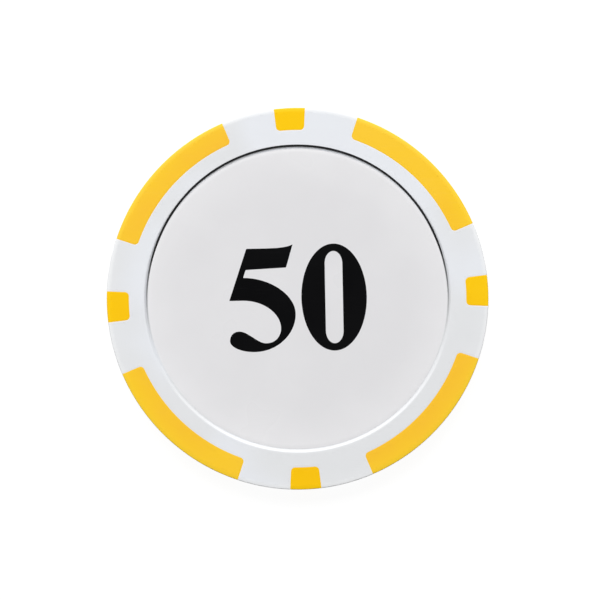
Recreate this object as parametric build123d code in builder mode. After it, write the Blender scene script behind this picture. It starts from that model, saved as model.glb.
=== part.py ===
"""Poker-chip ball marker: a white moulded disc with eight yellow edge spots that wrap over the rim,
a steel slug moulded into its middle, and a printed label stuck in a shallow recess in each face.

Units are millimetres. The disc lies flat: the origin is the centre of its rear face, +Z points out of
the front face, and +Y is up as the front number is read. The rear face carries the same label, turned
over about the Y axis. The eight spots and the disc are moulded onto each other, so they touch with no
gap; only the labels are laid in with a clearance round them.
"""

import os
from math import degrees

from build123d import *

# ---- Driving dimensions -------------------------------------------------------------------------

# Disc
chip_diameter = 40.0
chip_thickness = 3.3
edge_radius = 0.1  # rounding of both outer corners of the rim
rim_width = 3.95  # ring round the label recess, from the edge to the recess's lip
recess_wall_run = 0.22  # the sloped wall inside the lip
recess_wall_drop = 0.26
recess_wall_radius = 0.2  # rounding along the lip and along the foot of that wall
label_ledge = 0.12  # level step between the wall's foot and the label

# Edge spots
spot_turn = 1.4  # the whole ring of spots is turned by this, against the number
spots_of_each_kind = 4
long_spot_angle = 48.4
short_spot_angle = 9.4
spot_reach = 2.35  # how far a spot reaches in from the edge
spot_corner_radius = 0.45

# Hidden tongue that anchors each spot in the disc
tongue_reach = 1.2
tongue_thickness = 1.1
tongue_shoulder = 0.5  # the tongue ends this far short of the spot's two ends
lock_hole_diameter = 0.7  # the white plastic flows through these and locks the tongue
long_spot_lock_holes = 5
short_spot_lock_holes = 1

# Steel slug, with the white plastic that covers it
slug_side_cover = 1.95  # between the slug's edge and the tongues
slug_face_cover = 0.5  # between the slug and the floor of each label pocket
slug_edge_chamfer = 0.15
flow_holes = 4  # the white plastic joins through these
flow_hole_diameter = 4.0
flow_hole_inset = 5.5  # from the slug's edge to the middle of each hole
pin_holes = 4  # left by the pins that hold the slug level in the mould
pin_hole_diameter = 1.8
pin_hole_inset = 3.5  # from the slug's edge to the middle of each hole

# Label stack, from the pocket's floor outwards; the pocket is as deep as the label is thick
label_gap = 0.05  # between the label and the wall of its pocket
adhesive_thickness = 0.03
film_thickness = 0.06
ink_thickness = 0.02
laminate_thickness = 0.05

# Number
numeral_height = 11.2
five_width = 6.92
zero_width = 6.85
numeral_gap = 0.63
stroke_at_zero_sides = 2.5  # width of the ink on both sides of the zero's counter, the hole in it
stroke_at_zero_ends = 0.77  # and above and below it
counter_end_height = 1.3
numeral_corner_radius = 0.12

# ---- Sizes that follow --------------------------------------------------------------------------

chip_radius = chip_diameter / 2
recess_radius = chip_radius - rim_width
wall_foot_radius = recess_radius - recess_wall_run
pocket_radius = wall_foot_radius - label_ledge
pocket_depth = adhesive_thickness + film_thickness + laminate_thickness
recess_depth = recess_wall_drop + pocket_depth
label_radius = pocket_radius - label_gap
mid_height = chip_thickness / 2
spot_inner_radius = chip_radius - spot_reach
tongue_inner_radius = spot_inner_radius - tongue_reach
lock_hole_circle_radius = spot_inner_radius - tongue_reach / 2
spot_pitch = 360 / spots_of_each_kind
slug_radius = tongue_inner_radius - slug_side_cover
slug_thickness = chip_thickness - 2 * (recess_depth + slug_face_cover)

front_floor = chip_thickness - recess_depth
film_bottom = front_floor + adhesive_thickness
film_top = film_bottom + film_thickness

FLIP_OVER = Plane((0, 0, mid_height), x_dir=(-1, 0, 0), z_dir=(0, 0, -1))
FRONT = Plane((0, 0, mid_height))

pieces = {}


def keep(name, part):
    """Label a finished piece and put it on the list that is written out."""
    part.label = name
    pieces[name] = part


def turned_over(part):
    """The same piece on the rear face: the disc is turned over about the Y axis."""
    return FLIP_OVER.from_local_coords(FRONT.to_local_coords(part))


# ---- Blank: the moulded outline of the whole disc, which the white and the yellow plastic share ---

with BuildPart() as blank:
    with BuildSketch(Plane.XZ) as half_section:
        with BuildLine():
            Polyline(
                (0, recess_depth),
                (pocket_radius, recess_depth),
                (pocket_radius, recess_wall_drop),
                (wall_foot_radius, recess_wall_drop),
                (recess_radius, 0),
                (chip_radius, 0),
                (chip_radius, chip_thickness),
                (recess_radius, chip_thickness),
                (wall_foot_radius, chip_thickness - recess_wall_drop),
                (pocket_radius, chip_thickness - recess_wall_drop),
                (pocket_radius, front_floor),
                (0, front_floor),
                close=True,
            )
        make_face()
        *_, wall_feet, lips, _ = half_section.vertices().group_by(Axis.X)
        fillet(wall_feet + lips, recess_wall_radius)
        outer_corners = half_section.vertices().group_by(Axis.X)[-1]
        fillet(outer_corners, edge_radius)
    revolve(axis=Axis.Z)


# ---- Steel slug ---------------------------------------------------------------------------------

with BuildPart() as slug:
    with BuildSketch(Plane.XY.offset(mid_height - slug_thickness / 2)):
        Circle(slug_radius)
        with PolarLocations(slug_radius - flow_hole_inset, flow_holes):
            Circle(flow_hole_diameter / 2, mode=Mode.SUBTRACT)
    extrude(amount=slug_thickness)
    chamfer(slug.edges().filter_by(GeomType.CIRCLE).group_by(SortBy.RADIUS)[-1], slug_edge_chamfer)
keep("slug", slug.part)


# ---- Edge spots ---------------------------------------------------------------------------------


def sector(inner_radius, outer_radius, angle):
    """Outline of a piece of a ring, centred on +X and open by angle, for use inside a sketch."""
    half = angle / 2
    with BuildLine() as outline:
        inner = CenterArc((0, 0), inner_radius, -half, angle)
        outer = CenterArc((0, 0), outer_radius, -half, angle)
        Line(inner @ 0, outer @ 0)
        Line(inner @ 1, outer @ 1)
    make_face(outline.edges())


def edge_spot(spot_angle, lock_holes):
    """One yellow spot on +X: a full-height block cut to the rim's outline, with its hidden tongue."""
    overlap = spot_reach / 4  # how far the tongue's outline runs into the block it joins
    tongue_angle = spot_angle - 2 * degrees(tongue_shoulder / spot_inner_radius)
    hole_pitch = tongue_angle / lock_holes
    with BuildPart() as spot:
        with BuildSketch(Plane.XY) as outline:
            sector(spot_inner_radius, chip_radius + spot_reach, spot_angle)
            inner_corners = outline.vertices().group_by(SortBy.DISTANCE)[0]
            fillet(inner_corners, spot_corner_radius)
        extrude(amount=chip_thickness)
        with BuildSketch(Plane.XY.offset(mid_height - tongue_thickness / 2)):
            sector(tongue_inner_radius, spot_inner_radius + overlap, tongue_angle)
            first_hole = -hole_pitch * (lock_holes - 1) / 2
            with PolarLocations(
                lock_hole_circle_radius,
                lock_holes,
                start_angle=first_hole,
                angular_range=hole_pitch * lock_holes,
            ):
                Circle(lock_hole_diameter / 2, mode=Mode.SUBTRACT)
        extrude(amount=tongue_thickness)
        add(blank.part, mode=Mode.INTERSECT)
    return spot.part


for kind, start, angle, holes in (
    ("short", 0, short_spot_angle, short_spot_lock_holes),
    ("long", spot_pitch / 2, long_spot_angle, long_spot_lock_holes),
):
    made = edge_spot(angle, holes)
    for number in range(spots_of_each_kind):
        turn = spot_turn + start + number * spot_pitch
        keep(f"{kind}_spot_{number + 1}", made.rotate(Axis.Z, turn))


# ---- White body, moulded round the slug and the spots ---------------------------------------------

with BuildPart() as body:
    add(blank.part)
    add(slug.part, mode=Mode.SUBTRACT)
    for name, piece in pieces.items():
        if "_spot_" in name:
            add(piece, mode=Mode.SUBTRACT)
    with BuildSketch(Plane.XY):
        with PolarLocations(slug_radius - pin_hole_inset, pin_holes, start_angle=180 / pin_holes):
            Circle(pin_hole_diameter / 2)
    extrude(amount=chip_thickness, mode=Mode.SUBTRACT)
keep("body", body.part)


# ---- Numerals -------------------------------------------------------------------------------------

number_width = five_width + numeral_gap + zero_width


def draw_five():
    """Bold serif 5, centred on the origin, inside a sketch. Its points are in tenths of its width and of
    its height, so that it fills a box from -5 to +5 both ways."""

    def at(x, y):
        return (x * five_width / 10, y * numeral_height / 10)

    flag_left, flag_tip, flag_right = at(-2.3, 4.66), at(4.72, 5), at(3.68, 2.85)
    notch_top, notch = at(-2.45, 2.68), at(-2.85, 1.95)
    bowl_right, bowl_bottom, ball_left = at(5, -1.5), at(-1.25, -5), at(-5, -3.95)
    ball_top, hook_bottom, hook_right = at(-3.6, -3.06), at(0.5, -4.2), at(2.75, -2.82)
    stem_right, stem_left = at(-3, -0.18), at(-5, -0.18)
    with BuildLine() as outline:
        Bezier(flag_left, at(1.4, 4.66), at(3.6, 4.62), flag_tip)
        Polyline(flag_tip, flag_right, notch_top, notch)
        Bezier(notch, at(1.2, 1.92), at(5, 0.3), bowl_right)
        Bezier(bowl_right, at(5, -3.3), at(2.3, -5), bowl_bottom)
        Bezier(bowl_bottom, at(-3.4, -5), at(-5, -4.5), ball_left)
        Bezier(ball_left, at(-5, -3.4), at(-4.4, -3.06), ball_top)
        Bezier(ball_top, at(-2.2, -3.06), at(-0.9, -4.2), hook_bottom)
        Bezier(hook_bottom, at(1.9, -4.2), at(2.75, -3.55), hook_right)
        Bezier(hook_right, at(2.75, -1.4), at(0.1, -0.18), stem_right)
        Polyline(stem_right, stem_left, flag_left)
    face = make_face(outline.edges())
    rounded_corners = [
        min(face.vertices(), key=lambda vertex: (Vector(corner) - Vector(*vertex)).length)
        for corner in (flag_left, flag_right, notch_top)
    ]
    fillet(rounded_corners, numeral_corner_radius)


def draw_zero():
    """Bold serif 0, centred on the origin, inside a sketch: an ellipse round a tall narrow counter."""
    Ellipse(zero_width / 2, numeral_height / 2)
    half_width = zero_width / 2 - stroke_at_zero_sides
    straight = numeral_height / 2 - stroke_at_zero_ends - counter_end_height
    with BuildLine() as counter:
        top = EllipticalCenterArc((0, straight), half_width, counter_end_height, arc_size=180)
        bottom = EllipticalCenterArc(
            (0, -straight), half_width, counter_end_height, start_angle=180, arc_size=180
        )
        Line(top @ 1, bottom @ 0)
        Line(bottom @ 1, top @ 0)
    make_face(counter.edges(), mode=Mode.SUBTRACT)


def numeral(draw, middle):
    """One printed digit: a layer of ink on top of the front film, with its middle at x = middle."""
    with BuildPart() as digit:
        with BuildSketch(Plane((middle, 0, film_top))):
            draw()
        extrude(amount=ink_thickness)
    return digit.part


five = numeral(draw_five, (five_width - number_width) / 2)
zero = numeral(draw_zero, (number_width - zero_width) / 2)


# ---- Labels ---------------------------------------------------------------------------------------


def layer(bottom, thickness):
    """One round sheet of the label, lying at that height over the front recess."""
    with BuildPart() as sheet:
        with BuildSketch(Plane.XY.offset(bottom)):
            Circle(label_radius)
        extrude(amount=thickness)
    return sheet.part


with BuildPart() as laminate:
    add(layer(film_top, laminate_thickness))
    add(five, mode=Mode.SUBTRACT)
    add(zero, mode=Mode.SUBTRACT)

label_stack = {
    "label_adhesive": layer(front_floor, adhesive_thickness),
    "label_film": layer(film_bottom, film_thickness),
    "numeral_5": five,
    "numeral_0": zero,
    "label_laminate": laminate.part,
}
for name, piece in label_stack.items():
    keep("rear_" + name, turned_over(piece))
    keep("front_" + name, piece)


# ---- Write every piece ------------------------------------------------------------------------------

os.makedirs("parts", exist_ok=True)
for name, piece in pieces.items():
    export_step(piece, f"parts/{name}.step")
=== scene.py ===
"""Looks of a poker-chip golf ball marker: a white moulded disc with yellow edge spots, and a printed
label set into a recess in each face.

Everything is in metres, in the frame of the CAD model: the disc lies on the floor with its axis along
+Z, and +Y is up as the front number is read. Sizes and places are read from the CAD nodes.
"""

import math

import bmesh
import bpy
import numpy as np
from mathutils import Matrix, Vector, noise


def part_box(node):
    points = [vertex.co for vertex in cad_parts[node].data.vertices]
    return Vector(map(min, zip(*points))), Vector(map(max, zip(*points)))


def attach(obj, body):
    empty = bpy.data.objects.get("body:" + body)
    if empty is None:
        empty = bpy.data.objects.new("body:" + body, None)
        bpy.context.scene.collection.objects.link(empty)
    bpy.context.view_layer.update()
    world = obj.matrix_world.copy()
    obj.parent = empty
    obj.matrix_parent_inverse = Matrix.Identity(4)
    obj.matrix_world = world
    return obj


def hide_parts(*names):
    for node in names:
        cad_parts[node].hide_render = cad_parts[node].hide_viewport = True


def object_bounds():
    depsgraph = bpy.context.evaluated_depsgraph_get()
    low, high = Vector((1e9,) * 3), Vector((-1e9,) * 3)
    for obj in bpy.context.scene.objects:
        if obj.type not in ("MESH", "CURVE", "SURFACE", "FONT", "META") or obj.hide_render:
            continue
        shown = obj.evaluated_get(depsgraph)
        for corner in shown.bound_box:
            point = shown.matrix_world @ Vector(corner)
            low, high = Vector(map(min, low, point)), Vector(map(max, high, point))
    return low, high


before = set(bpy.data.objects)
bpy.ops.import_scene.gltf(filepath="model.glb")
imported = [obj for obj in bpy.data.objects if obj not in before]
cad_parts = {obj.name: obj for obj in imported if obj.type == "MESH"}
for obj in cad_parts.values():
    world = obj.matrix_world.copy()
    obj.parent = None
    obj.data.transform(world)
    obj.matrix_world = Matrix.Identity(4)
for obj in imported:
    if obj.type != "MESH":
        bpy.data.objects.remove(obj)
cad_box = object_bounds()

MM = 0.001
TINY = 1e-6  # two heights or radii closer than this are the same
FLAT = math.radians(0.5)  # faces that meet at less than that lie in one plane

# ---- Finishing sizes: what moulding and handling add to the CAD shape -----------------------------

seam_depth = 0.008 * MM  # a slight sink along each seam between the white and the yellow
seam_width = 0.045 * MM
rubbed_highlight_width = 0.5 * MM  # paler band along the outer edge: a painted highlight, where the plastic is also rubbed rougher
parting_line_height = 0.018 * MM
parting_line_width = 0.035 * MM
gate_mark_angle = math.radians(284)
gate_mark_radius = 0.5 * MM
gate_mark_depth = 0.05 * MM
rim_wave_height = 0.008 * MM
rim_wave_length = 5 * MM
label_wave_height = 0.02 * MM
label_wave_length = 9 * MM
label_wave_seed = 3.7
label_wave_fade = 3 * MM  # width of the band along the label's edge in which its waves die out
label_edge_rounding = 0.01 * MM
label_spread = 0.048 * MM  # its layers are squeezed out by that much, into the gap round them
print_slip = Vector((0.05, 0.1)) * MM  # the print stands that far off the middle of the label
ink_stands_proud = 0.004 * MM

# ---- Fineness of the meshes -------------------------------------------------------------------------

column_pitch = 0.17 * MM  # along the rim
seam_steps = np.array([0.015, 0.035, 0.07, 0.13]) * MM  # rows and columns beside a seam
corner_step = 11  # degrees, round the inner corners of a spot
pocket_rows = 10  # under the label
wall_corner_rows = 7  # round the foot and round the lip of the recess's wall
ring_inner_rows = 7  # from the lip to the seam
ring_outer_rows = 6  # from the seam to the outer corner
outer_corner_rows = 8
edge_rows = 8  # down half of the edge
label_rings = 38
label_sides = 360
ink_mesh_pitch = 0.4 * MM
sharp_edge = 40  # degrees: shading is smooth across edges that turn by less

# ---- Sizes read from the frame ----------------------------------------------------------------------

low, high = cad_box
chip_radius = (high.x - low.x) / 2
top = high.z
bottom = low.z
mid = (top + bottom) / 2


def polar(node):
    """Radius, angle and height of every vertex of a CAD node, as three arrays."""
    points = np.array([vertex.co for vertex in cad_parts[node].data.vertices])
    return np.hypot(points[:, 0], points[:, 1]), np.arctan2(points[:, 1], points[:, 0]), points[:, 2]


def same(values, value):
    return np.abs(values - value) < TINY


label_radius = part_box("front_label_film")[1].x
label_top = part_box("front_label_laminate")[1].z
floor_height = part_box("front_label_adhesive")[0].z

body_r, _, body_z = polar("body")
pocket_radius = body_r[same(body_z, floor_height)].max()
ring_outer = body_r[same(body_z, top)].max()
edge_radius = chip_radius - ring_outer
foot_start = body_r[same(body_z, label_top)].max()
lip_end = body_r[same(body_z, top)].min()


def recess_wall():
    """Tilt from level of the recess's wall, and radius of the roundings at its foot and its lip."""
    between = (body_r > foot_start - TINY) & (body_r < lip_end + TINY) & (body_z > mid)
    section = sorted(set(zip(body_r[between].round(8), body_z[between].round(8))))
    steps = zip(section, section[1:])
    slope, r, z = max(((z1 - z0) / (r1 - r0), r1, z1) for (r0, z0), (r1, z1) in steps if r1 > r0)
    tilt = math.atan(slope)
    lip_corner = r + (top - z) / slope
    return tilt, (lip_end - lip_corner) / math.tan(tilt / 2)


wall_tilt, wall_rounding = recess_wall()
rounding_run = wall_rounding * math.tan(wall_tilt / 2)
wall_foot = foot_start + rounding_run  # where the wall's straight line meets the ledge
wall_lip = lip_end - rounding_run


class Spot:
    """Outline of one edge spot on the face of the disc, read from its CAD node."""

    def __init__(self, node):
        self.node = node
        r, angle, z = polar(node)
        on_face = same(z, top)
        r, angle = r[on_face], angle[on_face]
        rough = math.atan2(np.sin(angle).mean(), np.cos(angle).mean())
        turned = self.wrapped(angle - rough)
        self.angle = rough + (turned.max() + turned.min()) / 2
        self.half = (turned.max() - turned.min()) / 2
        self.inner = r.min()
        at_end = np.abs(np.abs(self.wrapped(angle - self.angle)) - self.half) * chip_radius < TINY
        self.straight_from = r[at_end].min()
        self.corner = (self.straight_from**2 - self.inner**2) / (2 * self.inner)
        self.corner_centre = self.inner + self.corner
        self.corner_from = self.half - math.asin(self.corner / self.corner_centre)

    @staticmethod
    def wrapped(angle):
        return (angle + np.pi) % (2 * np.pi) - np.pi

    def boundary(self, turn):
        """Radius at which the spot begins, on a ray turned by that much from its middle."""
        beyond = abs(turn) - self.corner_from
        if beyond <= 0:
            return self.inner
        across = self.corner_centre * math.sin(beyond)
        inside = max(self.corner**2 - across**2, 0)
        return self.corner_centre * math.cos(beyond) - math.sqrt(inside)

    def distance(self, r, angle):
        """Distance of points on the face, edge or back of the disc from the spot's outline."""
        turn = np.abs(self.wrapped(angle - self.angle))
        beyond = turn - self.corner_from
        to_arc = np.abs(r - self.inner)
        to_centre = np.hypot(r * np.cos(beyond) - self.corner_centre, r * np.sin(beyond))
        to_corner = np.abs(to_centre - self.corner)
        to_side = r * np.abs(np.sin(np.clip(turn - self.half, -1, 1)))
        beside_end = np.where(r < self.straight_from, to_corner, to_side)
        return np.where(beyond <= 0, to_arc, beside_end)

    def turns(self):
        """Angles of the mesh columns from one end of the spot to the other, about its middle."""
        near_end = self.half - np.append(0, seam_steps) / self.straight_from
        bend = np.radians(np.arange(0, 90, corner_step))
        sideways = self.corner * np.sin(bend)
        round_corner = self.corner_from + np.arctan2(
            sideways, self.corner_centre - self.corner * np.cos(bend)
        )
        steps = max(2, round(self.corner_from * chip_radius / column_pitch))
        along = np.linspace(0, self.corner_from, steps, endpoint=False)
        side = np.unique(np.concatenate([along, round_corner[round_corner < near_end[-1]], near_end]))
        return np.concatenate([-side[:0:-1], side])


spots = [Spot(f"{kind}_spot_{number}") for kind in ("long", "short") for number in range(1, 5)]
spots.sort(key=lambda spot: spot.angle % (2 * math.pi))
seam_radius = max(spot.straight_from for spot in spots)


# ---- Mesh helpers -----------------------------------------------------------------------------------


def sharpen(bm):
    """Smooth shading everywhere except across sharp edges."""
    bm.normal_update()
    for face in bm.faces:
        face.smooth = True
    for edge in bm.edges:
        edge.smooth = edge.is_manifold and edge.calc_face_angle(0) < math.radians(sharp_edge)


def make_piece(name, bm, material, slot, *replaced):
    """Turn a finished bmesh into a piece that rides on the disc's body and stands for CAD nodes."""
    sharpen(bm)
    mesh = bpy.data.meshes.new(name)
    bm.to_mesh(mesh)
    bm.free()
    mesh.materials.append(material)
    piece = bpy.data.objects.new(name, mesh)
    bpy.context.scene.collection.objects.link(piece)
    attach(piece, "root")
    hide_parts(*replaced)
    return piece


def mesh_from(points, faces):
    """A bmesh that holds these faces and only the points that they use."""
    bm = bmesh.new()
    indices = sorted({index for face in faces for index in face})
    used = {index: bm.verts.new(points[index]) for index in indices}
    for face in faces:
        bm.faces.new([used[index] for index in face])
    return bm


# ---- The disc's surface: one lattice of columns round the rim and rows across the section ----------


def arc(centre_r, centre_z, radius, start, end, steps):
    """Rows round a corner of the section. Angles are the surface's tilt from level, outwards. A hollow
    corner has a negative radius.
    """
    return [
        (centre_r + radius * math.sin(tilt), centre_z + radius * math.cos(tilt), tilt)
        for tilt in np.linspace(start, end, steps)
    ]


def level_rows(radii):
    return [(r, top, 0) for r in radii]


def front_rows(seam):
    """Rows of the front half of the section as (radius, height, tilt), from the label pocket's floor
    to mid-height on the edge, where a spot begins at that radius. The index of the seam's own row
    comes back as well.
    """
    pocket_shares = np.linspace(0.1, 1, pocket_rows)
    rows = [(r, floor_height, 0) for r in pocket_shares * pocket_radius]
    rows += [(r, label_top, 0) for r in (pocket_radius, (pocket_radius + foot_start) / 2)]
    foot_centre, lip_centre = label_top + wall_rounding, top - wall_rounding
    rows += arc(foot_start, foot_centre, -wall_rounding, 0, -wall_tilt, wall_corner_rows)
    rows += arc(lip_end, lip_centre, wall_rounding, -wall_tilt, 0, wall_corner_rows)
    before = seam - seam_steps[::-1]
    rows += level_rows(np.linspace(lip_end, before[0], ring_inner_rows)[1:-1])
    rows += level_rows(before)
    seam_row = len(rows)
    after = seam + seam_steps
    rows += level_rows([seam, *after])
    rows += level_rows(np.linspace(after[-1], ring_outer, ring_outer_rows)[1:-1])
    upright = math.pi / 2
    rows += arc(ring_outer, top - edge_radius, edge_radius, 0, upright, outer_corner_rows)
    heights = np.linspace(top - edge_radius, mid + 2 * parting_line_width, edge_rows)[1:]
    heights = [*heights, mid + parting_line_width, mid + parting_line_width / 2, mid]
    rows += [(chip_radius, z, upright) for z in heights]
    return rows, seam_row


def columns():
    """Every mesh column as (angle, radius of the seam), and what lies between it and the next: a spot,
    or None for the white.
    """
    found, owners = [], []
    for index, spot in enumerate(spots):
        turns = spot.turns()
        found += [(spot.angle + turn, spot.boundary(turn)) for turn in turns]
        owners += [spot] * (len(turns) - 1)
        following = spots[(index + 1) % len(spots)]
        start = spot.angle + spot.half
        gap = (following.angle - following.half - start) % (2 * math.pi)
        near = seam_steps / seam_radius
        inside = gap - 2 * near[-1]
        steps = round(inside * chip_radius / column_pitch)
        across = near[-1] + np.linspace(0, inside, steps + 1)
        gap_turns = np.concatenate([near[:-1], across, gap - near[-2::-1]])
        found += [(start + turn, spot.straight_from) for turn in gap_turns]
        owners += [None] * (len(gap_turns) + 1)
    return found, owners


def wave(x, y, length, seed):
    """Slow smooth unevenness, from -1 to 1."""
    return noise.noise(Vector((x / length, y / length, seed)))


def sunk(r, angle, z, tilt):
    """How far each point of the disc's surface lies below its nominal place."""
    nearest = np.min([spot.distance(r, angle) for spot in spots], axis=0)
    outside = r > lip_end
    seam = np.where(outside, seam_depth * np.exp(-((nearest / seam_width) ** 2)), 0)
    sideways = np.clip(np.sin(tilt), 0, 1)
    line = np.exp(-(((z - mid) / parting_line_width) ** 2))
    parting = parting_line_height * sideways * (1 - line)
    along_edge = chip_radius * Spot.wrapped(angle - gate_mark_angle)
    from_gate = np.hypot(along_edge, z - mid) / gate_mark_radius
    gate = gate_mark_depth * sideways * np.clip(1 - from_gate**4, 0, 1)
    xs, ys = r * np.cos(angle), r * np.sin(angle)
    slow = np.array([wave(x, y, rim_wave_length, h / MM) for x, y, h in zip(xs, ys, z)])
    waves = np.where(outside, rim_wave_height * (1 + slow) / 2, 0)
    return seam + parting + gate + waves


def disc_surface():
    """The lattice's points, and its faces sorted into those of the white disc and of each spot."""
    found, owners = columns()
    sections = [front_rows(seam) for _, seam in found]
    seam_row = sections[0][1]
    rows = len(sections[0][0])
    grid = np.array([section for section, _ in sections])
    r, z, tilt = grid[..., 0], grid[..., 1], grid[..., 2]
    angle = np.repeat(np.array([a for a, _ in found])[:, None], rows, axis=1)
    points = []
    for side in (1, -1):
        height = z if side == 1 else top + bottom - z
        depth = sunk(r.ravel(), angle.ravel(), height.ravel(), tilt.ravel()).reshape(r.shape)
        sunk_r = r - depth * np.sin(tilt)
        sunk_z = height - side * depth * np.cos(tilt)
        points.append(np.stack([sunk_r * np.cos(angle), sunk_r * np.sin(angle), sunk_z], axis=-1))
    count = len(found)
    front, back = points
    back[:, -1] = front[:, -1]
    flat = [Vector(p) for p in np.concatenate([front.reshape(-1, 3), back.reshape(-1, 3)])]
    hub = len(flat)
    flat += [Vector((0, 0, floor_height)), Vector((0, 0, top + bottom - floor_height))]

    def at(column, row, side):
        """Index of a lattice point. The front and the back share the row at mid-height."""
        if row == rows - 1:
            side = 0
        return side * count * rows + (column % count) * rows + row

    faces = {None: []}
    for column, owner in enumerate(owners):
        mine = faces.setdefault(owner, [])
        after = column + 1
        for side in (0, 1):
            fan = [hub + side, at(column, 0, side), at(after, 0, side)]
            faces[None].append(fan if side == 0 else fan[::-1])
            for row in range(rows - 1):
                quad = [at(column, row, side), at(column, row + 1, side)]
                quad += [at(after, row + 1, side), at(after, row, side)]
                whose = mine if row >= seam_row else faces[None]
                whose.append(quad if side == 0 else quad[::-1])
        if owner is not None:
            wall = [at(column, seam_row, 0), at(after, seam_row, 0)]
            wall += [at(after, seam_row, 1), at(column, seam_row, 1)]
            mine.append(wall)
            faces[None].append(wall[::-1])
        before = owners[column - 1]
        if owner is not before:
            spot = owner or before
            for row in range(seam_row, rows - 1):
                end = [at(column, row, 0), at(column, row, 1)]
                end += [at(column, row + 1, 1), at(column, row + 1, 0)]
                end = list(dict.fromkeys(end))
                outward = end if owner is not None else end[::-1]
                faces[spot].append(outward)
                faces[None].append(outward[::-1])
    return flat, faces


# ---- Labels and digits ------------------------------------------------------------------------------


def label_surface(x, y):
    """Height of the front label's top there: slow unevenness that dies out towards its edge."""
    inside = min((label_radius - math.hypot(x, y)) / label_wave_fade, 1)
    waves = wave(x, y, label_wave_length, label_wave_seed)
    return label_top + max(inside, 0) * label_wave_height * waves


def label_mesh():
    """The front label as one closed sheet with a rounded, die-cut edge."""
    flat_radius = label_radius + label_spread - label_edge_rounding
    rings = [(r, 0) for r in np.linspace(0, flat_radius, label_rings)[1:]]
    for turn in np.radians((30, 60, 90)):
        r = flat_radius + label_edge_rounding * math.sin(turn)
        rings.append((r, label_edge_rounding * (1 - math.cos(turn))))
    sides = label_sides
    points = [Vector((0, 0, label_surface(0, 0)))]
    for r, drop in rings:
        for angle in np.linspace(0, 2 * math.pi, sides, endpoint=False):
            x, y = r * math.cos(angle), r * math.sin(angle)
            points.append(Vector((x, y, label_surface(x, y) - drop)))
    outer = points[-sides:]
    points += [Vector((p.x, p.y, floor_height)) for p in outer]
    points.append(Vector((0, 0, floor_height)))
    faces = []
    for ring in range(len(rings) + 1):
        for side in range(sides):
            a, b = 1 + ring * sides + side, 1 + ring * sides + (side + 1) % sides
            if ring == 0:
                faces.append([0, a, b])
            if ring < len(rings):
                faces.append([a, a + sides, b + sides, b])
            else:
                faces.append([a, len(points) - 1, b])
    return mesh_from(points, faces)


def digit_mesh(node):
    """A printed digit, cut fine enough to follow the label's unevenness."""
    bm = bmesh.new()
    bm.from_mesh(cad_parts[node].data)
    bmesh.ops.remove_doubles(bm, verts=bm.verts, dist=TINY)
    bmesh.ops.dissolve_limit(bm, angle_limit=FLAT, verts=[], edges=bm.edges)
    corner, far_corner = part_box(node)
    for axis in (0, 1):
        normal = Vector((axis == 0, axis == 1, 0))
        for place in np.arange(corner[axis] + ink_mesh_pitch, far_corner[axis], ink_mesh_pitch):
            everything = bm.verts[:] + bm.edges[:] + bm.faces[:]
            cut = {"plane_co": normal * place, "plane_no": normal, "dist": TINY}
            bmesh.ops.bisect_plane(bm, geom=everything, **cut)
    bmesh.ops.remove_doubles(bm, verts=bm.verts, dist=TINY)
    bmesh.ops.dissolve_degenerate(bm, edges=bm.edges, dist=TINY)
    bmesh.ops.triangulate(bm, faces=bm.faces, quad_method="BEAUTY", ngon_method="BEAUTY")
    for vertex in bm.verts:
        vertex.co.xy += print_slip
        share = (vertex.co.z - corner.z) / (far_corner.z - corner.z)
        surface = label_surface(vertex.co.x, vertex.co.y) + ink_stands_proud
        vertex.co.z = corner.z + share * (surface - corner.z)
    return bm


def turned_over(bm):
    """The same mesh on the rear face: the disc is turned over about its Y axis."""
    half_turn = Matrix.Rotation(math.pi, 4, "Y")
    lift = Matrix.Translation((0, 0, mid))
    bmesh.ops.transform(bm, matrix=lift @ half_turn @ lift.inverted(), verts=bm.verts)
    return bm


# ---- Materials: linear colours, sizes of their detail, roughness ------------------------------------

# near-black colour of the painted shade on the recess's wall
painted_wall_shade = (0.01, 0.01, 0.011)
plastic_speck = (0.4, 0.39, 0.37)
label_speck = (0.35, 0.35, 0.36)
dull_steel = (0.5, 0.5, 0.51)
bright_steel = (0.66, 0.66, 0.67)
# In the white, the tint of the clouds is a painted sheen, and the edge colour is a painted highlight.
white_look = {
    "clean": (0.8, 0.81, 0.825),
    "deep": (0.765, 0.775, 0.79),
    "tint_and_sheen": (0.81, 0.83, 0.87),
    "rim_highlight": (0.88, 0.89, 0.9),
    "gloss": 0.3,
}
# The yellows' edge colour is a painted highlight as well.
yellow_looks = {
    "long": {
        "clean": (0.985, 0.615, 0.02),
        "deep": (0.96, 0.54, 0.021),
        "tint_and_sheen": (0.98, 0.6, 0.022),
        "rim_highlight": (0.99, 0.65, 0.028),
        "gloss": 0.35,
    },
    "short": {
        "clean": (0.98, 0.58, 0.002),
        "deep": (0.96, 0.55, 0.001),
        "tint_and_sheen": (0.98, 0.59, 0.002),
        "rim_highlight": (0.99, 0.61, 0.004),
        "gloss": 0.15,
    },
}
label_look = {"clean": (0.815, 0.81, 0.825), "shaded": (0.755, 0.75, 0.765), "gloss": 0.25}
ink_look = {"clean": (0.002, 0.002, 0.0025), "shaded": (0.003, 0.003, 0.0035), "gloss": 0.08}

flow_size, flow_depth = 6 * MM, 0.03 * MM  # flow marks in the plastic
grain_size, grain_depth = 0.16 * MM, 0.004 * MM
patch_size = 2.2 * MM  # unevenness of the rubbed, painted-highlight edge band and of the painted shade on the recess's wall
cloud_size = 11 * MM  # faint clouds of tint in the plastic; in the white they are paler and bluish, a painted sheen
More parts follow.
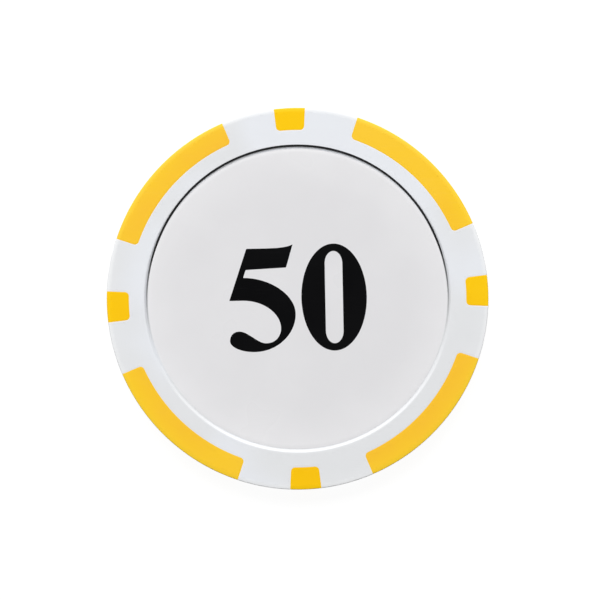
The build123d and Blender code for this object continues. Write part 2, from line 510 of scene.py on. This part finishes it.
# turns the clouds, and with them the white's painted sheen
cloud_turn = math.radians(-90)
wall_shade_moved = (-0.19 * MM, 0.08 * MM)  # painted shade moved outwards along the wall, at the disc's sides and at its +Y end
unevenness_size = 7 * MM  # of the label's shade and gloss
orange_peel_size, orange_peel_depth = 0.7 * MM, 0.003 * MM
plastic_scuff_depth = 0.003 * MM
label_scuff_depth = 0.002 * MM

# Specks: their spacing, their size, and the share of places that have one.
plastic_specks = (2.6 * MM, 0.14 * MM, 0.03)
label_specks = (3.4 * MM, 0.16 * MM, 0.03)
speck_core = 0.6  # of a speck's radius; from there its edge is soft

# Scuffs in two directions: turn, length, width, and the noise at which a scuff starts and is full.
plastic_scuffs = (
    (0.5, 3 * MM, 0.07 * MM, 0.66, 0.75),
    (-0.9, 4 * MM, 0.06 * MM, 0.67, 0.76),
)
label_scuffs = (
    (0.3, 5 * MM, 0.05 * MM, 0.68, 0.78),
    (1.3, 4 * MM, 0.05 * MM, 0.69, 0.78),
)

plastic_ior = 1.5
plastic_roughness = (0.34, 0.46)
label_roughness = (0.26, 0.34)
steel_roughness = (0.25, 0.42)
coat_roughness = 0.12
rubbed_roughness = 0.08  # added where the plastic is rubbed
scuffed_roughness = 0.1  # added in a scuff


class Finish:
    """A procedural material on the Principled shader, with short ways to add its nodes."""

    def __init__(self, name):
        self.material = bpy.data.materials.new(name)
        self.material.use_nodes = True
        self.tree = self.material.node_tree
        self.shader = self.tree.nodes["Principled BSDF"]
        self.place = self.node("ShaderNodeTexCoord").outputs["Object"]

    def node(self, kind, **settings):
        made = self.tree.nodes.new(kind)
        for key, value in settings.items():
            setattr(made, key, value)
        return made

    def put(self, value, socket):
        """Link an output to a socket, or set the socket to a plain value."""
        if isinstance(value, bpy.types.NodeSocket):
            self.tree.links.new(value, socket)
        else:
            socket.default_value = value

    def sum(self, kind, *values):
        made = self.node("ShaderNodeMath", operation=kind)
        for value, socket in zip(values, made.inputs):
            self.put(value, socket)
        return made.outputs[0]

    def stretched(self, scale, turn=0.0):
        made = self.node("ShaderNodeMapping")
        self.put(self.place, made.inputs["Vector"])
        made.inputs["Scale"].default_value = scale
        made.inputs["Rotation"].default_value = (0, 0, turn)
        return made.outputs[0]

    def noise(self, size, detail=2.0, roughness=0.5, vector=None):
        """Smooth noise from 0 to 1 whose features are about that size."""
        made = self.node("ShaderNodeTexNoise")
        self.put(vector or self.place, made.inputs["Vector"])
        made.inputs["Scale"].default_value = 1 / size
        made.inputs["Detail"].default_value = detail
        made.inputs["Roughness"].default_value = roughness
        return made.outputs["Fac"]

    def specks(self, spacing, size, share):
        """Sparse round specks: 1 inside a speck. Only that share of the cells has one."""
        cells = self.node("ShaderNodeTexVoronoi")
        self.put(self.place, cells.inputs["Vector"])
        cells.inputs["Scale"].default_value = 1 / spacing
        chosen = self.node("ShaderNodeSeparateColor")
        self.put(cells.outputs["Color"], chosen.inputs[0])
        rim, core = size / spacing, size / spacing * speck_core
        inside = self.span(cells.outputs["Distance"], rim, core, 0, 1)
        return self.sum("MULTIPLY", inside, self.sum("LESS_THAN", chosen.outputs[0], share))

    def scratches(self, turn, length, width, low_end, high_end):
        """Fine straight scratches along one direction."""
        vector = self.stretched((1 / length, 1 / width, 1 / length), turn)
        return self.span(self.noise(1.0, 1.0, 0.5, vector), low_end, high_end, 0, 1)

    def scuffs(self, first, second):
        """Scratches along two directions."""
        return self.sum("MAXIMUM", self.scratches(*first), self.scratches(*second))

    def span(self, value, from_low, from_high, to_low, to_high):
        made = self.node("ShaderNodeMapRange", interpolation_type="SMOOTHSTEP")
        for socket, number in zip(made.inputs, (value, from_low, from_high, to_low, to_high)):
            self.put(number, socket)
        return made.outputs[0]

    def mix(self, share, first, second):
        made = self.node("ShaderNodeMix", data_type="RGBA")
        self.put(share, made.inputs["Factor"])
        colours = [socket for socket in made.inputs if socket.type == "RGBA"]
        self.put((*first, 1) if isinstance(first, tuple) else first, colours[0])
        self.put((*second, 1) if isinstance(second, tuple) else second, colours[1])
        return next(socket for socket in made.outputs if socket.type == "RGBA")

    def radius(self):
        """Distance from the disc's axis."""
        flat = self.node("ShaderNodeVectorMath", operation="MULTIPLY")
        self.put(self.place, flat.inputs[0])
        flat.inputs[1].default_value = (1, 1, 0)
        made = self.node("ShaderNodeVectorMath", operation="LENGTH")
        self.put(flat.outputs[0], made.inputs[0])
        return made.outputs["Value"]

    def axis(self, letter):
        """One coordinate of the place."""
        made = self.node("ShaderNodeSeparateXYZ")
        self.put(self.place, made.inputs[0])
        return made.outputs[letter]

    def bump(self, height, distance, before=None):
        """Raise the surface by up to that distance where height is 1."""
        made = self.node("ShaderNodeBump")
        self.put(height, made.inputs["Height"])
        made.inputs["Distance"].default_value = distance
        if before is not None:
            self.put(before, made.inputs["Normal"])
        self.put(made.outputs[0], self.shader.inputs["Normal"])
        return made.outputs[0]

    def set(self, **values):
        """Set shader sockets by name, with underscores for spaces."""
        for name, value in values.items():
            self.put(value, self.shader.inputs[name.replace("_", " ")])


def wall_shade_share(finish, radius, patches):
    """Share of painted shade on the recess's wall: a faint darkening all round, heaviest towards +Y,
    where the wall faces away from the key light, and nearest the lip there.
    """
    height_up = finish.sum("DIVIDE", finish.axis("Y"), radius)
    # the wall at +Y faces away from the key light, so the painted shade is heaviest there
    shade_weight = finish.span(height_up, -0.35, 0.35, 0.1, 1)
    moved = finish.sum("SUBTRACT", radius, finish.span(height_up, 0.1, 1, *wall_shade_moved))
    foot = finish.span(moved, wall_foot - 0.02 * MM, wall_foot + 0.01 * MM, 0, 1)
    lip = finish.span(moved, wall_lip - 0.01 * MM, wall_lip + 0.02 * MM, 1, 0)
    shade_on_wall = finish.sum("MULTIPLY", finish.sum("MULTIPLY", foot, lip), shade_weight)
    return finish.sum("MULTIPLY", shade_on_wall, finish.span(patches, 0, 1, 0.98, 1))


def moulded(finish, clean, deep, tint_and_sheen, rim_highlight, gloss):
    """Satin moulded plastic, shared by the white and the yellow: fine grain, faint flow marks and
    clouds, a painted sheen in the white's clouds, a paler edge band that is a painted highlight and
    is rubbed rougher, fine scuffs, and painted shade on the recess's wall.
    """
    radius = finish.radius()
    flow = finish.noise(flow_size, 3.0, 0.55)
    grain = finish.noise(grain_size, 3.0, 0.6)
    patches = finish.span(finish.noise(patch_size, 4.0, 0.6), 0.35, 0.75, 0, 1)
    scuffs = finish.scuffs(*plastic_scuffs)
    inwards = finish.span(radius, seam_radius, chip_radius, 0.5, 0)
    deeper = finish.sum("ADD", finish.span(flow, 0.3, 0.7, 0, 0.5), inwards)
    colour = finish.mix(deeper, clean, deep)
    # clouds of tint; the white's paler, bluish clouds are a painted sheen
    cloud = finish.noise(cloud_size, 1.0, 0.4, finish.stretched((1, 1, 1), cloud_turn))
    colour = finish.mix(finish.span(cloud, 0.45, 0.65, 0, 1), colour, tint_and_sheen)
    # paler band along the outer edge: a painted highlight; the same band is also rubbed rougher
    rubbing_and_highlight = finish.span(radius, ring_outer - rubbed_highlight_width, ring_outer, 0, 1)
    rubbing_and_highlight = finish.sum("MULTIPLY", rubbing_and_highlight, finish.span(patches, 0, 1, 0.75, 1))
    colour = finish.mix(rubbing_and_highlight, colour, rim_highlight)
    # painted shade on the recess's wall
    colour = finish.mix(wall_shade_share(finish, radius, patches), colour, painted_wall_shade)
    colour = finish.mix(finish.specks(*plastic_specks), colour, plastic_speck)
    roughness = finish.span(flow, 0.2, 0.8, *plastic_roughness)
    roughness = finish.sum("ADD", roughness, finish.sum("MULTIPLY", rubbing_and_highlight, rubbed_roughness))
    roughness = finish.sum("ADD", roughness, finish.sum("MULTIPLY", scuffs, scuffed_roughness))
    finish.set(Base_Color=colour, Roughness=roughness, IOR=plastic_ior, Specular_IOR_Level=gloss)
    rough = finish.bump(grain, grain_depth)
    rough = finish.bump(flow, flow_depth, rough)
    finish.bump(finish.sum("MULTIPLY", scuffs, -1), plastic_scuff_depth, rough)
    return finish.material


def laminated(finish, clean, shaded, gloss):
    """Print under a clear laminate, painted brighter towards the label's edge as a highlight. The coat
    is the laminate's gloss, a little uneven, with fine scuffs.
    """
    slow = finish.noise(unevenness_size, 2.0, 0.5)
    peel = finish.noise(orange_peel_size, 2.0, 0.5)
    scuffs = finish.scuffs(*label_scuffs)
    # paler towards the label's edge: a painted highlight
    inwards = finish.span(finish.radius(), 0.7 * label_radius, label_radius, 0.6, 0)
    darker = finish.sum("ADD", finish.span(slow, 0.3, 0.7, 0, 0.4), inwards)
    colour = finish.mix(darker, clean, shaded)
    colour = finish.mix(finish.specks(*label_specks), colour, label_speck)
    roughness = finish.span(slow, 0.2, 0.8, *label_roughness)
    roughness = finish.sum("ADD", roughness, finish.sum("MULTIPLY", scuffs, scuffed_roughness))
    finish.set(Base_Color=colour, Roughness=roughness, IOR=plastic_ior, Specular_IOR_Level=gloss)
    finish.set(Coat_Weight=gloss, Coat_Roughness=coat_roughness, Coat_IOR=plastic_ior)
    smooth = finish.bump(peel, orange_peel_depth)
    finish.bump(finish.sum("MULTIPLY", scuffs, -1), label_scuff_depth, smooth)
    return finish.material


def brushed_steel(finish):
    """The slug: rolled steel with a fine one-way grain."""
    along, across = 1 / (4 * MM), 1 / (0.05 * MM)
    grain = finish.noise(1.0, 3.0, 0.6, finish.stretched((along, across, along)))
    colour = finish.mix(grain, dull_steel, bright_steel)
    roughness = finish.span(grain, 0.2, 0.8, *steel_roughness)
    finish.set(Base_Color=colour, Roughness=roughness, Metallic=1.0)
    finish.bump(grain, grain_depth)
    return finish.material


white = moulded(Finish("white_plastic"), **white_look)
yellows = {kind: moulded(Finish(f"yellow_{kind}"), **look) for kind, look in yellow_looks.items()}
label_print = laminated(Finish("label_print"), **label_look)
ink = laminated(Finish("label_ink"), **ink_look)

# ---- Pieces -----------------------------------------------------------------------------------------

points, faces = disc_surface()

disc = mesh_from(points, faces[None])
cavity = bmesh.new()
cavity.from_mesh(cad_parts["slug"].data)
bmesh.ops.remove_doubles(cavity, verts=cavity.verts, dist=TINY)
bmesh.ops.reverse_faces(cavity, faces=cavity.faces)
cavity_mesh = bpy.data.meshes.new("slug_cavity")
cavity.to_mesh(cavity_mesh)
cavity.free()
disc.from_mesh(cavity_mesh)
bpy.data.meshes.remove(cavity_mesh)
make_piece("white_disc", disc, white, "white_plastic", "body")

for spot in spots:
    kind = spot.node.split("_")[0]
    insert = mesh_from(points, faces[spot])
    make_piece(f"yellow_{spot.node}", insert, yellows[kind], "yellow_plastic", spot.node)

for side, place in (("front", lambda bm: bm), ("rear", turned_over)):
    layers = [f"{side}_label_{layer}" for layer in ("adhesive", "film", "laminate")]
    make_piece(f"{side}_label", place(label_mesh()), label_print, "label_film", *layers)
    for digit, word in (("5", "five"), ("0", "zero")):
        printed = place(digit_mesh(f"front_numeral_{digit}"))
        make_piece(f"{side}_{word}", printed, ink, "label_ink", f"{side}_numeral_{digit}")

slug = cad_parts["slug"]
slug.data.materials.clear()
slug.data.materials.append(brushed_steel(Finish("slug_steel")))

# ---- Stage: pale floor, studio light and camera -----------------------------------------------------

floor_radius = 1.5
floor_sides = 96
floor_gap = 0.01 * MM  # below the disc, so that no two faces coincide
floor_roughness = 0.9
key_azimuth = math.radians(96)  # from +X towards +Y: the light stands at the top of the picture
key_elevation = math.radians(47)
key_distance = 1.6
key_size = (1.8, 1.3)
key_power = 40.6
world_light = 0.1
floor_glow = 0.95  # as the camera sees it
floor_bounce = 0.48  # as the disc sees it
floor_reflectance = 0.12

camera_distance = 0.6
camera_roll = math.radians(-1.1)
camera_aside = (0.25 * MM, -0.14 * MM)  # the disc is that far left of and above the picture's middle
disc_share = 0.6353  # of the picture's width
sensor_width = 36.0


def seen_or_felt(nodes, links, seen, felt):
    """One value for what the camera sees, and another for the light that falls on the disc."""
    mix = nodes.new("ShaderNodeMapRange")
    links.new(nodes.new("ShaderNodeLightPath").outputs["Is Camera Ray"], mix.inputs["Value"])
    mix.inputs["To Min"].default_value = felt
    mix.inputs["To Max"].default_value = seen
    return mix.outputs["Result"]


def floor():
    bm = bmesh.new()
    bmesh.ops.create_circle(bm, cap_ends=True, segments=floor_sides, radius=floor_radius)
    mesh = bpy.data.meshes.new("floor")
    bm.to_mesh(mesh)
    bm.free()
    made = bpy.data.objects.new("floor", mesh)
    made.location.z = bottom - floor_gap
    bpy.context.scene.collection.objects.link(made)
    paint = Finish("pale_floor")
    grey = (floor_reflectance,) * 3 + (1,)
    paint.set(Base_Color=grey, Roughness=floor_roughness, Specular_IOR_Level=0.0)
    glow = seen_or_felt(paint.tree.nodes, paint.tree.links, floor_glow, floor_bounce)
    paint.set(Emission_Color=(1, 1, 1, 1), Emission_Strength=glow)
    mesh.materials.append(paint.material)


def area_light(name, azimuth, elevation, distance, size, power):
    light = bpy.data.lights.new(name, "AREA")
    light.shape = "RECTANGLE"
    light.size, light.size_y = size
    light.energy = power
    made = bpy.data.objects.new(name, light)
    level = distance * math.cos(elevation)
    height = distance * math.sin(elevation)
    made.location = (level * math.cos(azimuth), level * math.sin(azimuth), height)
    made.rotation_euler = (-made.location).to_track_quat("-Z", "Y").to_euler()
    bpy.context.scene.collection.objects.link(made)


def surroundings():
    """Dim light from all round, and a pale background for the camera."""
    world = bpy.data.worlds.new("studio")
    bpy.context.scene.world = world
    world.use_nodes = True
    nodes, links = world.node_tree.nodes, world.node_tree.links
    sky = nodes["Background"]
    sky.inputs["Color"].default_value = (1, 1, 1, 1)
    links.new(seen_or_felt(nodes, links, 1.0, world_light), sky.inputs["Strength"])


def camera():
    """Straight above the disc, from far enough away that its edge hardly shows."""
    lens = bpy.data.cameras.new("camera")
    lens.sensor_width = sensor_width
    picture_width = 2 * chip_radius / disc_share
    lens.lens = sensor_width * camera_distance / picture_width
    made = bpy.data.objects.new("camera", lens)
    made.location = (*camera_aside, mid + camera_distance)
    made.rotation_euler = (0, 0, camera_roll)
    bpy.context.scene.collection.objects.link(made)
    bpy.context.scene.camera = made


floor()
area_light("key", key_azimuth, key_elevation, key_distance, key_size, key_power)
surroundings()
camera()
bpy.context.scene.view_settings.view_transform = "Standard"
